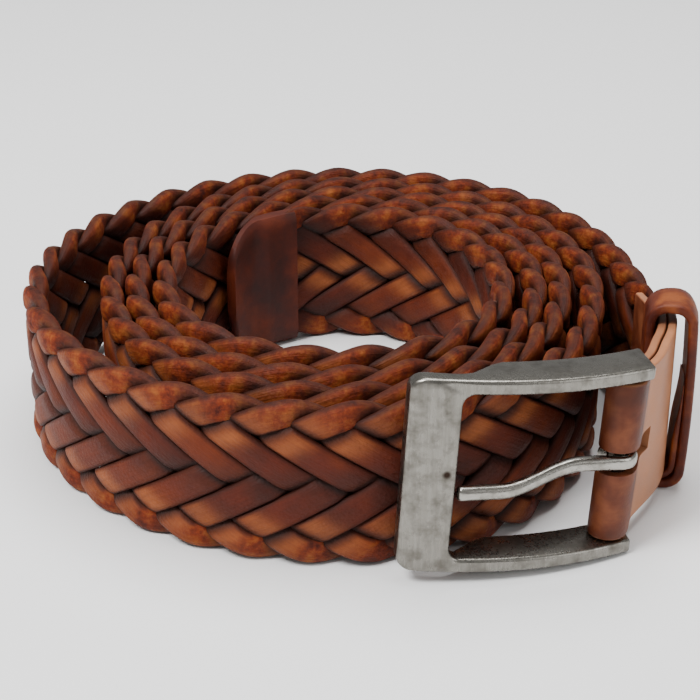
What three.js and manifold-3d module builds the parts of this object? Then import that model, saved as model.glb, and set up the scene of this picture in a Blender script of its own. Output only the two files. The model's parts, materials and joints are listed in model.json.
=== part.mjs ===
// A gentleman's plaited leather belt with a pin buckle, rolled into a coil and stood on its edge.
// Millimetres, +Z up, on z = 0. The strap runs from the buckle at the front right, outside first,
// anticlockwise seen from above, and winds inwards to its tip.
import * as THREE from 'three';
import { mergeVertices } from 'three/addons/utils/BufferGeometryUtils.js';
import Module from 'manifold-3d';

const wasm = await Module();
wasm.setup();

// ---- Driving dimensions ----------------------------------------------------------------------

// Plait
const STRAP_WIDTH = 30;
const STRAND_COUNT = 9;
const STRAND_WIDTH = 4.1;
const STRAND_THICKNESS = 1.45;
const WEAVE_GAP = 0.9; // between the outer and the inner layer of strands
const EDGE_PITCH = 10; // from one strand's turn at an edge to the next strand's
const TURN_EASE = 0.6; // how far a strand's turn stays inside the sharp corner
const SKIVED_SHARE = 0.5; // thickness of the plait where it is thinned inside the tab and the tip

// Coil: clear half breadth and half depth of the innermost turn, then the air left at each half
// turn outwards, on top of the strap's own thickness
const INNER_HALF_BREADTH = 30.5;
const INNER_HALF_DEPTH = 35.4;
const BREADTH_AIR = [0, 1.2, 2.2, 2.6, 3.0, 3.4, 5.1, 13.9, 8.9];
const DEPTH_AIR = [0, -1.6, 1.9, 2.2, 3.5, 4.7, 5.7, 7.8, 8.2];
const TIP_ANGLE = 146; // degrees from +X to the tip, in the innermost turn
const TAIL_ANGLE = 12; // degrees from +X to where the strap leaves the spiral for the buckle

// Leather tab, keeper and tip
const LEATHER_THICKNESS = 1.5;
const TAB_INSET = 0.75; // tab's and tip's edges inside the plait's
const TAB_LENGTH = 42; // from the buckle's bar to the end of the tab
const SLOT_REACH = 9; // prong's slot, from the bar
const BRAID_INSERT = 6; // length of plait held inside the tab, and inside the tip
const KEEPER_PLACE = 27; // from the bar to the middle of the keeper
const KEEPER_BAND = 8.6;
const KEEPER_PLAY = 4.2; // height of the keeper's opening over the tab's width
const KEEPER_SLACK = 1.9; // air between the tab and the keeper's outer side
const TIP_LEATHER = 1; // each of the tip's two layers
const TIP_LENGTH = 17;
const TIP_CORNER = 9;

// Buckle
const FRAME_LENGTH = 40.5;
const WINDOW_PLAY = 1; // window's height over the tab's width
const RAIL_HEIGHT_TOE = 2.5;
const RAIL_HEIGHT_HEEL = 2.4;
const TOE_BAR_WIDTH = 8.2;
const TOE_BAR_THICKNESS = 3;
const RAIL_DEPTH = 7.8; // front to back at the heel
const FRAME_ARCH = 3.2; // rise of the front face between toe and heel
const HEEL_OVERHANG = 3.5; // rails past the bar
const FRAME_CORNER = 2.4;
const BAR_RADIUS = 1.5;
const PRONG_WIDTH = 2.4;
const PRONG_THICKNESS = 2.4;
const BUCKLE_YAW = 11.6; // degrees that the toe swings to the front
const BUCKLE_ROLL = 3.5; // degrees that the toe is lifted
const BAR_SET_BACK = 6.4; // bar behind the line of the coil's front face
const BAR_INSET = 9.2; // bar inside the coil's right-hand side

// Clearances
const GAP = 0.3; // between pieces that lie against each other
const RUN_CLEARANCE = 0.4; // round what turns or slides
const PRONG_PLAY = 0.9; // above and below the prong in the tab's slot

// ---- Worked out from them --------------------------------------------------------------------

const STRAP_THICKNESS = 2 * STRAND_THICKNESS + WEAVE_GAP;
const HALF_WIDTH = STRAP_WIDTH / 2;
const TAB_WIDTH = STRAP_WIDTH - 2 * TAB_INSET;
const KEEPER_HEIGHT = TAB_WIDTH + KEEPER_PLAY + 2 * LEATHER_THICKNESS;
const WINDOW_HEIGHT = TAB_WIDTH + WINDOW_PLAY;
const FRAME_HEIGHT_TOE = WINDOW_HEIGHT + 2 * RAIL_HEIGHT_TOE;
const FRAME_HEIGHT_HEEL = WINDOW_HEIGHT + 2 * RAIL_HEIGHT_HEEL;
const WEAVE_SPAN = STRAP_WIDTH - STRAND_WIDTH + 2 * TURN_EASE;
const LANE_STEP = EDGE_PITCH / 2;
const HALF_TRAVERSE = STRAND_COUNT * LANE_STEP;
const STRAND_ANGLE = Math.atan2(WEAVE_SPAN, HALF_TRAVERSE);
const TAB_HALF_THICKNESS = LEATHER_THICKNESS + GAP / 2;
const WRAP_INNER_RADIUS = BAR_RADIUS + GAP;
const WRAP_RADIUS = WRAP_INNER_RADIUS + LEATHER_THICKNESS;
const SKIVED_HALF = (SKIVED_SHARE * STRAP_THICKNESS) / 2;
const POCKET_HALF = SKIVED_HALF + GAP;
const SLEEVE_HALF = POCKET_HALF + LEATHER_THICKNESS;
const yaw = THREE.MathUtils.degToRad(BUCKLE_YAW);
const roll = THREE.MathUtils.degToRad(BUCKLE_ROLL);
const heelHalf = FRAME_HEIGHT_HEEL / 2;
const BAR_HEIGHT = heelHalf * Math.cos(roll) + HEEL_OVERHANG * Math.sin(roll) + GAP;
const FLOOR_CLEARANCE = 0.2;

// ---- The strap's route -----------------------------------------------------------------------

function smooth(t) {
  const c = THREE.MathUtils.clamp(t, 0, 1);
  return c * c * (3 - 2 * c);
}

// A half size of the coil: stations half a turn apart, numbered outwards. It goes on narrowing
// past the innermost station, so that the tip has room.
function grown(inner, air, turnsOut) {
  const station = THREE.MathUtils.clamp(2 * turnsOut, 0, air.length - 1);
  const low = Math.min(Math.floor(station), air.length - 2);
  const slack = THREE.MathUtils.lerp(air[low], air[low + 1], smooth(station - low));
  const layers = Math.min(turnsOut, (air.length - 1) / 2);
  return inner + layers * STRAP_THICKNESS + slack;
}

const OUTER_TURNS = (BREADTH_AIR.length - 1) / 2;

// Spiral at an angle in degrees, which grows from the buckle (outside) to the tip (inside).
// The breadth's stations lie at +X and -X, the depth's at +Y and -Y.
function spiral(angle) {
  const breadthTurns = OUTER_TURNS - angle / 360;
  const depthTurns = OUTER_TURNS - (angle - 90) / 360;
  const a = grown(INNER_HALF_BREADTH, BREADTH_AIR, breadthTurns);
  const b = grown(INNER_HALF_DEPTH, DEPTH_AIR, depthTurns);
  const turn = THREE.MathUtils.degToRad(angle);
  return new THREE.Vector2(a * Math.cos(turn), b * Math.sin(turn));
}

const frontFace = spiral(270).y - STRAP_THICKNESS / 2;
const rightSide = spiral(0).x;
const bar = new THREE.Vector2(rightSide - BAR_INSET, frontFace + BAR_SET_BACK);

const ANGLE_STEP = 10;
const LAST_ANGLE = 360 * OUTER_TURNS + TIP_ANGLE;
const routePoints = [
  new THREE.Vector3(bar.x - 4, bar.y - 7, 0),
  new THREE.Vector3(bar.x, bar.y, 0),
  new THREE.Vector3(bar.x + 6.9, bar.y + 11, 0),
  new THREE.Vector3(bar.x + 11.2, bar.y + 23, 0),
  new THREE.Vector3(bar.x + 11.2, bar.y + 36, 0),
];
for (let angle = TAIL_ANGLE; angle < LAST_ANGLE + ANGLE_STEP / 2; angle += ANGLE_STEP) {
  const p = spiral(angle);
  routePoints.push(new THREE.Vector3(p.x, p.y, 0));
}
const route = new THREE.CatmullRomCurve3(routePoints);
route.arcLengthDivisions = 6000;
const BAR_AT = new THREE.Vector3(4, 7, 0).length();
const ROUTE_LENGTH = route.getLength();
const STRAP_END = ROUTE_LENGTH - BAR_AT; // tip of the belt, from the bar
const BRAID_START = TAB_LENGTH - BRAID_INSERT;
const SLEEVE_MOUTH = STRAP_END - TIP_LENGTH; // where the tip's leather begins
const BRAID_END = SLEEVE_MOUTH + BRAID_INSERT;

// Evenly spaced samples of the route, so that a place on the strap is quick to find
const SAMPLE_COUNT = 3000;
const samples = [];
for (let i = 0; i <= SAMPLE_COUNT; i += 1) {
  const u = i / SAMPLE_COUNT;
  samples.push({ point: route.getPointAt(u), tangent: route.getTangentAt(u) });
}

function onRoute(s) {
  const x = THREE.MathUtils.clamp((s + BAR_AT) / ROUTE_LENGTH, 0, 1) * SAMPLE_COUNT;
  const i = Math.min(Math.floor(x), SAMPLE_COUNT - 1);
  const point = samples[i].point.clone().lerp(samples[i + 1].point, x - i);
  const tangent = samples[i].tangent.clone().lerp(samples[i + 1].tangent, x - i).normalize();
  return { point, tangent };
}

// How far the strap follows the lifted buckle, and its roll: all at the bar, not at all in the
// plait. The tab is straight again where the keeper is.
function buckleLift(s) {
  return 1 - smooth((s - KEEPER_PLACE) / (TAB_LENGTH + EDGE_PITCH - KEEPER_PLACE));
}
const KEEPER_NEAR = KEEPER_PLACE - KEEPER_BAND;
function buckleRoll(s) {
  return 1 - smooth((s - SLOT_REACH) / (KEEPER_NEAR - SLOT_REACH));
}

// A place on the strap: s along it from the bar, m inwards from its middle plane, z up from its
// lower edge
const toeward = new THREE.Vector3(-Math.cos(yaw), -Math.sin(yaw), 0);
function place(s, m, z) {
  const { point, tangent } = onRoute(s);
  const lean = -Math.tan(roll) * buckleRoll(s) * (z - HALF_WIDTH);
  return new THREE.Vector3(
    point.x - tangent.y * m + lean * toeward.x,
    point.y + tangent.x * m + lean * toeward.y,
    z + buckleLift(s) * (BAR_HEIGHT - HALF_WIDTH),
  );
}

// ---- Mesh helpers ----------------------------------------------------------------------------

function bare(geometry) {
  const g = geometry.clone();
  g.deleteAttribute('normal');
  g.deleteAttribute('uv');
  return mergeVertices(g, 1e-4);
}

function toManifold(geometry) {
  const g = bare(geometry);
  const mesh = new wasm.Mesh({
    numProp: 3,
    vertProperties: new Float32Array(g.attributes.position.array),
    triVerts: new Uint32Array(g.index.array),
  });
  return new wasm.Manifold(mesh);
}

function toGeometry(solid) {
  const mesh = solid.getMesh();
  const g = new THREE.BufferGeometry();
  g.setAttribute('position', new THREE.BufferAttribute(mesh.vertProperties.slice(), 3));
  g.setIndex(new THREE.BufferAttribute(mesh.triVerts.slice(), 1));
  g.computeVertexNormals();
  return g;
}

// Moves each vertex of a geometry by a function of its x, y and z
function remap(geometry, move) {
  const p = geometry.attributes.position;
  for (let i = 0; i < p.count; i += 1) {
    const q = move(p.getX(i), p.getY(i), p.getZ(i));
    p.setXYZ(i, q.x, q.y, q.z);
  }
  geometry.computeVertexNormals();
  return geometry;
}

const belt = new THREE.Group();

function add(name, geometry, look, parent = belt) {
  const material = new THREE.MeshStandardMaterial(look);
  const mesh = new THREE.Mesh(geometry, material);
  mesh.name = name;
  parent.add(mesh);
  return mesh;
}

const leather = { color: 0x8a4a2c, roughness: 0.6, metalness: 0 };
const paleLeather = { color: 0xa8755c, roughness: 0.55, metalness: 0 };
const darkLeather = { color: 0x6a2c18, roughness: 0.6, metalness: 0 };
const plating = { color: 0xb9b8b2, roughness: 0.25, metalness: 1 };
const steel = { color: 0xc4c4c0, roughness: 0.2, metalness: 1 };

// ---- The plait -------------------------------------------------------------------------------

// A strand crosses the other eight between one edge and the other: under one, over three, under
// three and over the last. Each entry is the place in lanes from the edge where the strand turns
// and the layer there, 1 on the outer face and -1 on the inner.
const cellHalf = STRAND_WIDTH / (2 * EDGE_PITCH * Math.sin(STRAND_ANGLE));
const clearOfCell = cellHalf + (0.5 - cellHalf) / 4;
const WEAVE_STATIONS = [
  [0, 0],
  [1 - clearOfCell, -1],
  [1 + clearOfCell, -1],
  [2 - clearOfCell, 1],
  [4 + clearOfCell, 1],
  [5 - clearOfCell, -1],
  [7 + clearOfCell, -1],
  [8 - clearOfCell, 1],
  [8 + clearOfCell, 1],
];

// Every station of one strand over the plaited length and one traverse past each end
function strandStations(strand) {
  const first = BRAID_START - 2 * HALF_TRAVERSE + strand * EDGE_PITCH;
  const traverses = Math.ceil((BRAID_END - BRAID_START) / HALF_TRAVERSE) + 4;
  const stations = [];
  for (let k = 0; k < traverses; k += 1) {
    const down = k % 2 === 0 ? 1 : -1;
    for (const [lane, layer] of WEAVE_STATIONS) {
      const turning = lane === 0;
      const fromEdge = turning ? TURN_EASE : (WEAVE_SPAN * lane) / STRAND_COUNT;
      stations.push({
        s: first + k * HALF_TRAVERSE + lane * LANE_STEP,
        z: HALF_WIDTH + down * (WEAVE_SPAN / 2 - fromEdge),
        layer,
        skew: turning ? 0 : down,
      });
    }
  }
  return stations;
}

// Half a strand's slanting cross line, along the strap and across it
const skewAlong = STRAND_WIDTH / (4 * Math.sin(STRAND_ANGLE));
const skewAcross = STRAND_WIDTH / (4 * Math.cos(STRAND_ANGLE));
const layerOffset = (STRAND_THICKNESS + WEAVE_GAP) / 2;

function between(a, b, s) {
  const t = (s - a.s) / (b.s - a.s);
  const mix = (key) => THREE.MathUtils.lerp(a[key], b[key], t);
  return { s, z: mix('z'), layer: mix('layer'), skew: mix('skew') };
}

function at(stations, s) {
  const before = stations.filter((q) => q.s <= s).pop();
  const after = stations.find((q) => q.s > s);
  return between(before, after, s);
}

// Share of the full thickness: the plait is thinned where the tab and the tip hold it
const skiveLead = GAP + 2 * skewAlong;
function thinning(s) {
  const atStart = smooth((s - TAB_LENGTH - skiveLead) / EDGE_PITCH);
  const atEnd = smooth((SLEEVE_MOUTH - skiveLead - s) / EDGE_PITCH);
  return THREE.MathUtils.lerp(SKIVED_SHARE, 1, Math.min(atStart, atEnd));
}

// A strand's stations between the plait's two cut ends, with more of them where it is thinned.
// Where a station lies close to a cut, the cut takes its place.
const SHORTEST_STEP = 0.5;
const THINNED_STEP = 2.5;
function trimmed(stations) {
  const cuts = [BRAID_START, BRAID_END].map((s) => {
    const close = stations.find((q) => Math.abs(q.s - s) < SHORTEST_STEP);
    return close ? { ...close, s } : at(stations, s);
  });
  const first = BRAID_START + SHORTEST_STEP;
  const last = BRAID_END - SHORTEST_STEP;
  const kept = stations.filter((q) => q.s > first && q.s < last);
  const thinnedRun = BRAID_INSERT + skiveLead + 3 * EDGE_PITCH;
  for (let run = THINNED_STEP; run < thinnedRun; run += THINNED_STEP) {
    for (const s of [BRAID_START + run, BRAID_END - run]) {
      if (kept.every((q) => Math.abs(q.s - s) > SHORTEST_STEP)) {
        kept.push(at(stations, s));
      }
    }
  }
  return [...cuts, ...kept].sort((a, b) => a.s - b.s);
}

function strandGeometry(strand) {
  const rings = trimmed(strandStations(strand));
  const g = bare(new THREE.BoxGeometry(rings.length - 1, 1, 1, rings.length - 1, 1, 1));
  g.translate((rings.length - 1) / 2, 0, 0);
  return remap(g, (x, y, z) => {
    const ring = rings[Math.round(x)];
    const side = 2 * z;
    const across = THREE.MathUtils.lerp(STRAND_WIDTH / 2, skewAcross, Math.abs(ring.skew));
    const m = -ring.layer * layerOffset + y * STRAND_THICKNESS;
    const s = ring.s + side * ring.skew * skewAlong;
    return place(s, m * thinning(s), ring.z + side * across);
  });
}

for (let i = 0; i < STRAND_COUNT; i += 1) {
  add(`strand_${i + 1}`, strandGeometry(i), leather);
}

// ---- Buckle tab: one strip folded round the bar, both ends over the plait ---------------------

const TAB_STEP = 2;
const WRAP_RUN = 7; // from the bar to where the two layers lie together
const ARC_STEPS = 12;

// Half thickness of the folded tab's inside and outside at s, past the bar
function tabHalf(s, atBar, together, sleeve) {
  if (s < WRAP_RUN) {
    return together + ((atBar - together) * (1 + Math.cos((Math.PI * s) / WRAP_RUN))) / 2;
  }
  const flare = smooth((s - (BRAID_START - 4)) / 3);
  return THREE.MathUtils.lerp(together, sleeve, flare);
}

function tabOutline(atBar, together, sleeve) {
  const points = [];
  for (let s = TAB_LENGTH; s > TAB_STEP / 2; s -= TAB_STEP) {
    points.push(new THREE.Vector2(s, tabHalf(s, atBar, together, sleeve)));
  }
  for (let i = 0; i <= ARC_STEPS; i += 1) {
    const turn = Math.PI / 2 + (Math.PI * i) / ARC_STEPS;
    points.push(new THREE.Vector2(atBar * Math.cos(turn), atBar * Math.sin(turn)));
  }
  return points;
}

function folded(points) {
  const layer = points.slice(0, points.length - ARC_STEPS - 1);
  return [...points, ...layer.map((p) => new THREE.Vector2(p.x, -p.y)).reverse()];
}

// Station by station: one layer from its end to the bar, round it, and the other layer back
const outerFace = folded(tabOutline(WRAP_RADIUS, TAB_HALF_THICKNESS, SLEEVE_HALF));
const innerFace = folded(tabOutline(WRAP_INNER_RADIUS, GAP / 2, POCKET_HALF));
const folds = outerFace.length - 1;
const tabStrip = bare(new THREE.BoxGeometry(folds, 1, 1, folds, 1, 1));
tabStrip.translate(folds / 2, 0, 0);
remap(tabStrip, (x, y, z) => {
  const p = (y < 0 ? outerFace : innerFace)[Math.round(x)];
  return place(p.x, p.y, HALF_WIDTH + z * TAB_WIDTH);
});

// Slot for the prong through the fold
const slot = new THREE.BoxGeometry(SLOT_REACH + 2 * WRAP_RADIUS, 4 * WRAP_RADIUS, 1, 8, 1, 1);
slot.translate(SLOT_REACH / 2 - WRAP_RADIUS, 0, 0);
slot.scale(1, 1, PRONG_WIDTH + 2 * PRONG_PLAY);
slot.translate(0, 0, HALF_WIDTH);
remap(slot, place);
add('buckle_tab', toGeometry(toManifold(tabStrip).subtract(toManifold(slot))), paleLeather);

// ---- Tip: leather folded over the plait's other end, with round corners ----------------------

function tipHalfWidth(s) {
  const intoCorner = Math.max(0, s - (STRAP_END - TIP_CORNER));
  const half = TAB_WIDTH / 2 - TIP_CORNER;
  return half + Math.sqrt(Math.max(0, TIP_CORNER ** 2 - intoCorner ** 2));
}

const tipPlate = bare(new THREE.BoxGeometry(TIP_LENGTH, 2, 2, 14, 1, 2));
tipPlate.translate(TIP_LENGTH / 2, 0, 0);
remap(tipPlate, (x, y, z) => {
  const s = SLEEVE_MOUTH + x;
  const thin = smooth((x - BRAID_INSERT - 1) / 4);
  const half = THREE.MathUtils.lerp(POCKET_HALF + TIP_LEATHER, TIP_LEATHER + GAP / 2, thin);
  return place(s, y * half, HALF_WIDTH + z * tipHalfWidth(s));
});
const pocketLength = BRAID_INSERT + 2 * GAP + skewAlong;
const tipPocket = new THREE.BoxGeometry(pocketLength + 2, 2 * POCKET_HALF, STRAP_WIDTH + 2, 8, 1, 1);
tipPocket.translate(SLEEVE_MOUTH + pocketLength / 2 - 1, 0, HALF_WIDTH);
remap(tipPocket, place);
add('strap_tip', toGeometry(toManifold(tipPlate).subtract(toManifold(tipPocket))), leather);

// ---- Keeper: a loose leather loop round the tab ----------------------------------------------

function roundedRectangle(path, x0, y0, x1, y1, radius) {
  path.moveTo(x0 + radius, y0);
  path.lineTo(x1 - radius, y0);
  path.absarc(x1 - radius, y0 + radius, radius, -Math.PI / 2, 0);
  path.lineTo(x1, y1 - radius);
  path.absarc(x1 - radius, y1 - radius, radius, 0, Math.PI / 2);
  path.lineTo(x0 + radius, y1);
  path.absarc(x0 + radius, y1 - radius, radius, Math.PI / 2, Math.PI);
  path.lineTo(x0, y0 + radius);
  path.absarc(x0 + radius, y0 + radius, radius, Math.PI, Math.PI * 1.5);
  return path;
}

const keeperLift = buckleLift(KEEPER_PLACE) * (BAR_HEIGHT - HALF_WIDTH);
const keeperFloor = FLOOR_CLEARANCE - keeperLift;
const keeperInner = TAB_HALF_THICKNESS + RUN_CLEARANCE;
const keeperOuter = TAB_HALF_THICKNESS + KEEPER_SLACK;
const KEEPER_CORNER = 2.4;
const keeperShape = roundedRectangle(
  new THREE.Shape(),
  -keeperOuter - LEATHER_THICKNESS,
  keeperFloor,
  keeperInner + LEATHER_THICKNESS,
  keeperFloor + KEEPER_HEIGHT,
  KEEPER_CORNER + LEATHER_THICKNESS / 2,
);
keeperShape.holes.push(
  roundedRectangle(
    new THREE.Path(),
    -keeperOuter,
    keeperFloor + LEATHER_THICKNESS,
    keeperInner,
    keeperFloor + KEEPER_HEIGHT - LEATHER_THICKNESS,
    KEEPER_CORNER - LEATHER_THICKNESS / 2,
  ),
);
const keeper = new THREE.ExtrudeGeometry(keeperShape, {
  depth: KEEPER_BAND,
  steps: 2,
  curveSegments: 4,
  bevelEnabled: false,
});
remap(keeper, (m, z, along) => place(KEEPER_PLACE - KEEPER_BAND / 2 + along, m, z));
add('keeper_loop', keeper, darkLeather);

// ---- Buckle ----------------------------------------------------------------------------------

// Own axes: x from the bar to the toe, y out to the front, z up along the bar
const buckle = new THREE.Group();
const barUp = new THREE.Vector3(0, 0, Math.cos(roll)).addScaledVector(toeward, -Math.sin(roll));
const toToe = new THREE.Vector3(0, 0, Math.sin(roll)).addScaledVector(toeward, Math.cos(roll));
const toFront = new THREE.Vector3().crossVectors(barUp, toToe);
const axes = new THREE.Matrix4().makeBasis(toToe, toFront, barUp);
buckle.quaternion.setFromRotationMatrix(axes);
buckle.position.set(bar.x, bar.y, BAR_HEIGHT);
belt.add(buckle);

const toeEnd = FRAME_LENGTH - HEEL_OVERHANG;
const windowEnd = toeEnd - TOE_BAR_WIDTH;
const FRONT_HEEL = 2.5; // front face ahead of the bar's axis, at the heel
const FRONT_TOE = 3.6; // and at the toe

function frontAt(x) {
  const t = (x + HEEL_OVERHANG) / FRAME_LENGTH;
  return THREE.MathUtils.lerp(FRONT_HEEL, FRONT_TOE, t) + FRAME_ARCH * 4 * t * (1 - t);
}

function depthAt(x) {
  const deep = smooth((windowEnd - x) / TOE_BAR_WIDTH);
  return THREE.MathUtils.lerp(TOE_BAR_THICKNESS, RAIL_DEPTH, deep);
}

// Side view of the frame, extruded over its height
const FRAME_STEPS = 14;
const sideOutline = [];
for (let i = 0; i <= FRAME_STEPS; i += 1) {
  const x = -HEEL_OVERHANG + (FRAME_LENGTH * i) / FRAME_STEPS;
  sideOutline.push(new THREE.Vector2(x, frontAt(x) - depthAt(x)));
}
for (let i = FRAME_STEPS; i >= 0; i -= 1) {
  const x = -HEEL_OVERHANG + (FRAME_LENGTH * i) / FRAME_STEPS;
  sideOutline.push(new THREE.Vector2(x, frontAt(x)));
}
const sideBlock = new THREE.ExtrudeGeometry(new THREE.Shape(sideOutline), {
  depth: FRAME_HEIGHT_TOE + 4,
  bevelEnabled: false,
});
sideBlock.translate(0, 0, -(FRAME_HEIGHT_TOE + 4) / 2);

// Front view: a toe bar and two rails, open at the heel
const toeHalf = FRAME_HEIGHT_TOE / 2;
const windowHalf = WINDOW_HEIGHT / 2;
const WINDOW_CORNER = 2;
const frontShape = new THREE.Shape();
frontShape.moveTo(-HEEL_OVERHANG, windowHalf);
frontShape.lineTo(-HEEL_OVERHANG, heelHalf);
frontShape.lineTo(toeEnd - FRAME_CORNER, toeHalf);
frontShape.absarc(toeEnd - FRAME_CORNER, toeHalf - FRAME_CORNER, FRAME_CORNER, Math.PI / 2, 0, true);
frontShape.lineTo(toeEnd, FRAME_CORNER - toeHalf);
frontShape.absarc(toeEnd - FRAME_CORNER, FRAME_CORNER - toeHalf, FRAME_CORNER, 0, -Math.PI / 2, true);
frontShape.lineTo(-HEEL_OVERHANG, -heelHalf);
frontShape.lineTo(-HEEL_OVERHANG, -windowHalf);
frontShape.lineTo(windowEnd - WINDOW_CORNER, -windowHalf);
frontShape.absarc(windowEnd - WINDOW_CORNER, WINDOW_CORNER - windowHalf, WINDOW_CORNER, -Math.PI / 2, 0);
frontShape.lineTo(windowEnd, windowHalf - WINDOW_CORNER);
frontShape.absarc(windowEnd - WINDOW_CORNER, windowHalf - WINDOW_CORNER, WINDOW_CORNER, 0, Math.PI / 2);
const FRONT_REACH = 20;
const frontBlock = new THREE.ExtrudeGeometry(frontShape, {
  depth: 2 * FRONT_REACH,
  curveSegments: 5,
  bevelEnabled: false,
});
frontBlock.rotateX(Math.PI / 2);
frontBlock.translate(0, FRONT_REACH, 0);

const barHole = new THREE.CylinderGeometry(BAR_RADIUS + GAP, BAR_RADIUS + GAP, 2 * FRONT_REACH, 16);
barHole.rotateX(Math.PI / 2);
const frame = toManifold(sideBlock).intersect(toManifold(frontBlock)).subtract(toManifold(barHole));
add('buckle_frame', toGeometry(frame), plating, buckle);

const pin = new THREE.CylinderGeometry(BAR_RADIUS, BAR_RADIUS, FRAME_HEIGHT_HEEL - 2 * GAP, 16);
pin.rotateX(Math.PI / 2);
add('heel_bar', pin, steel, buckle);

// ---- Prong: a flat hook round the bar and a joggled arm that ends at the toe bar -------------

const hookOuter = BAR_RADIUS + GAP + 1.5;
const armLevel = hookOuter - PRONG_THICKNESS / 2; // arm's middle, in front of the bar
const ARM_RISE = 1.9; // joggle to the front
const ARM_DROP = 3.3; // joggle down
const ARM_STRAIGHT = 7;
const ARM_JOGGLE_END = 21;
const prongTip = windowEnd - RUN_CLEARANCE - 0.2;

function joggle(x) {
  return smooth((x - ARM_STRAIGHT) / (ARM_JOGGLE_END - ARM_STRAIGHT));
}

const ARM_STEPS = 12;
const armTop = [];
const armUnder = [];
for (let i = 0; i <= ARM_STEPS; i += 1) {
  const x = hookOuter * 0.8 + ((prongTip - hookOuter * 0.8) * i) / ARM_STEPS;
  const y = armLevel + ARM_RISE * joggle(x);
  armTop.push(new THREE.Vector2(x, y + PRONG_THICKNESS / 2));
  armUnder.push(new THREE.Vector2(x, y - PRONG_THICKNESS / 2));
}
// The hook: from the arm over the bar, behind it and forward again, stopping short of the arm
const HOOK_STEPS = 16;
const hookOutside = [];
const hookInside = [];
const HOOK_END = THREE.MathUtils.degToRad(350);
for (let i = 0; i <= HOOK_STEPS; i += 1) {
  const turn = Math.PI / 2 + ((HOOK_END - Math.PI / 2) * i) / HOOK_STEPS;
  hookOutside.push(new THREE.Vector2(hookOuter * Math.cos(turn), hookOuter * Math.sin(turn)));
  const inner = BAR_RADIUS + GAP;
  hookInside.push(new THREE.Vector2(inner * Math.cos(turn), inner * Math.sin(turn)));
}
const hookMouth = [58, 25].map((degrees) => {
  const turn = THREE.MathUtils.degToRad(degrees);
  const inner = BAR_RADIUS + GAP;
  return new THREE.Vector2(inner * Math.cos(turn), inner * Math.sin(turn));
});
const prongOutline = [
  ...armUnder,
  ...armTop.reverse(),
  ...hookOutside,
  ...hookInside.reverse(),
  ...hookMouth,
];
const prong = new THREE.ExtrudeGeometry(new THREE.Shape(prongOutline), {
  depth: PRONG_WIDTH,
  bevelEnabled: false,
});
prong.translate(0, 0, -PRONG_WIDTH / 2);
remap(prong, (x, y, z) => new THREE.Vector3(x, y, z - ARM_DROP * joggle(x)));
add('prong', prong, steel, buckle);

// ---- Origin: middle of the outline, on the surface that the belt stands on --------------------

belt.updateMatrixWorld(true);
const outline = new THREE.Box3().setFromObject(belt, true);
const middle = outline.getCenter(new THREE.Vector3());
belt.position.set(-middle.x, -middle.y, -outline.min.z);

export default belt;
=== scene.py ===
"""A plaited leather belt with a pin buckle, rolled into a coil and stood on its edge."""

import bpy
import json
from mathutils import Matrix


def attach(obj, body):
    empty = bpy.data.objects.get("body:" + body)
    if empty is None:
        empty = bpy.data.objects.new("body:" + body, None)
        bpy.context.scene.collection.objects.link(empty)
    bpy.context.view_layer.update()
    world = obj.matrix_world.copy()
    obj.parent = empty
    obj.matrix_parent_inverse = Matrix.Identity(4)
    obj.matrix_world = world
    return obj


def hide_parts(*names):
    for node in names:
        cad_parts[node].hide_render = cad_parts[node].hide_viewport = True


bl_info = {
    "name": "Plaited Leather Belt",
    "version": (1, 0, 0),
    "blender": (4, 5, 0),
    "location": "3D View > Sidebar > Belt",
    "description": "Builds a coiled belt of plaited leather with its buckle, keeper and tip",
    "category": "Add Mesh",
}

import bisect
import json
import math
import random

import bmesh
import bpy
from bpy.props import FloatProperty, FloatVectorProperty, IntProperty, PointerProperty
from bpy.types import Operator, Panel, PropertyGroup
from mathutils import Vector

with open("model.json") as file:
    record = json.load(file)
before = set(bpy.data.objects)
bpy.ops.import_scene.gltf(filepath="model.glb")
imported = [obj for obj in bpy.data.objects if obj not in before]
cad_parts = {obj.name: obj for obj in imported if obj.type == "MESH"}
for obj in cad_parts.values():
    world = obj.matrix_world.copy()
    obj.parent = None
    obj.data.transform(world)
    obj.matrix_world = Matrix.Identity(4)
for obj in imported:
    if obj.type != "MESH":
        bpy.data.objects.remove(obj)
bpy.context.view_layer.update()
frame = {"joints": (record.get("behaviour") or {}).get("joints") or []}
joints = {joint["name"]: joint for joint in frame["joints"]}

# ---- Sizes of the belt, in millimetres ---------------------------------------------------------

MM = 0.001

STRAP_WIDTH = 30.0
STRAND_COUNT = 9
PLAIT_THICKNESS = 3.8
EDGE_PITCH = 10.0
LANE_STEP = EDGE_PITCH / 2
TRAVERSE = STRAND_COUNT * LANE_STEP
WEAVE_SPAN = 27.1
HALF_WIDTH = STRAP_WIDTH / 2
STRAND_ANGLE = math.atan2(WEAVE_SPAN, TRAVERSE)

INNER_HALF_BREADTH = 30.5
INNER_HALF_DEPTH = 35.4
BREADTH_AIR = [0, 1.2, 2.2, 2.6, 3.0, 3.4, 5.1, 13.9, 8.9]
DEPTH_AIR = [0, -1.6, 1.9, 2.2, 3.5, 4.7, 5.7, 7.8, 8.2]
TIP_ANGLE = 146
TAIL_ANGLE = 12

LEATHER_THICKNESS = 1.5
TAB_WIDTH = 28.5
TAB_LENGTH = 42.0
TAB_HALF = 1.65
SLOT_REACH = 9.0
SLOT_HALF = 2.1
WRAP_RUN = 7.0
WRAP_INNER = 1.8
POCKET_HALF = 1.25
BRAID_INSERT = 6.0
BRAID_START = TAB_LENGTH - BRAID_INSERT
KEEPER_PLACE = 27.0
KEEPER_BAND = 8.6
KEEPER_HEIGHT = 35.7
KEEPER_SLACK = 1.9
TIP_LEATHER = 1.0
TIP_LENGTH = 17.0
TIP_CORNER = 9.0

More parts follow.
